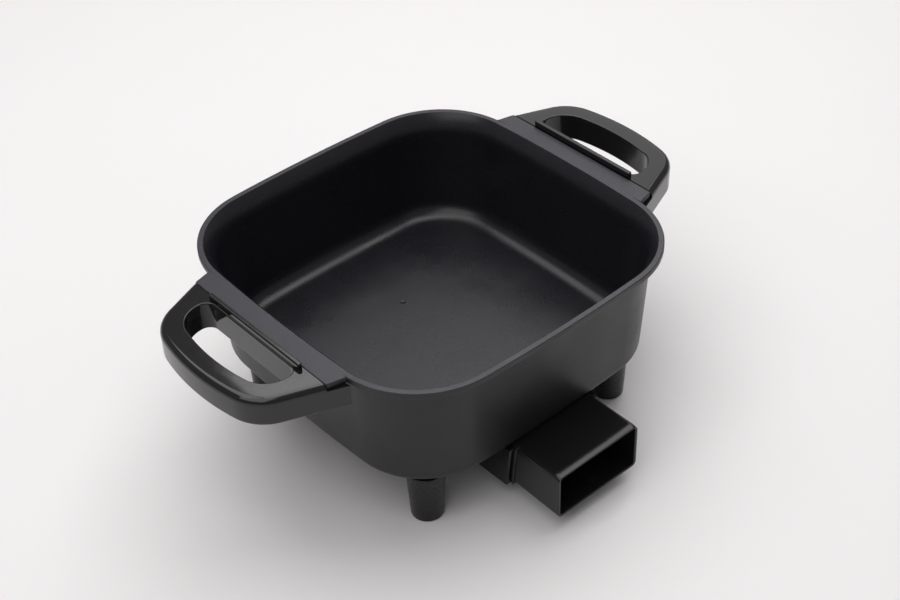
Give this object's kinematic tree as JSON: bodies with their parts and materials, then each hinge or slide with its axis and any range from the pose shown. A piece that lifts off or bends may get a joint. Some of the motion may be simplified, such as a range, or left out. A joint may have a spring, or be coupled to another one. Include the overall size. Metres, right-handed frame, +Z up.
{
  "type": "electric skillet",
  "caption": "Deep round-cornered square cast pan on post legs, with loop handles at the sides and a guarded socket for a plug-in temperature control.",
  "frame": {"origin": "middle of the footprint on the table top; the middle of the pan lies 16 mm behind it along +Y, because the guard reaches out in front", "axes": "+X from one handle to the other, -Y out of the mouth of the probe guard, +Z up"},
  "size_m": [0.4116, 0.312, 0.1486],
  "materials": {
    "pan_coat": "cast aluminium with a dark charcoal semi-gloss non-stick coat",
    "handle_phenolic": "polished black phenolic",
    "guard_phenolic": "semi-gloss black phenolic",
    "leg_phenolic": "satin black phenolic",
    "sheath": "heat-darkened steel sheath",
    "pin_steel": "bright drawn steel",
    "screw_steel": "zinc-plated steel",
    "ceramic": "unglazed white steatite ceramic"
  },
  "bodies": {
    "root": {"pan": "pan_coat", "heating_element": "sheath", "terminal_pin_left": "pin_steel", "terminal_pin_right": "pin_steel", "terminal_insulator_left": "ceramic", "terminal_insulator_right": "ceramic", "sensor_sleeve": "pin_steel", "probe_guard": "guard_phenolic", "guard_screw_left": "screw_steel", "guard_screw_right": "screw_steel", "handle_left": "handle_phenolic", "handle_right": "handle_phenolic", "handle_screw_left_front": "screw_steel", "handle_screw_left_rear": "screw_steel", "handle_screw_right_front": "screw_steel", "handle_screw_right_rear": "screw_steel", "leg_left_front": "leg_phenolic", "leg_right_front": "leg_phenolic", "leg_left_rear": "leg_phenolic", "leg_right_rear": "leg_phenolic", "leg_washer_left_front": "screw_steel", "leg_washer_right_front": "screw_steel", "leg_washer_left_rear": "screw_steel", "leg_washer_right_rear": "screw_steel", "leg_screw_left_front": "screw_steel", "leg_screw_right_front": "screw_steel", "leg_screw_left_rear": "screw_steel", "leg_screw_right_rear": "screw_steel"}
  },
  "joints": []
}
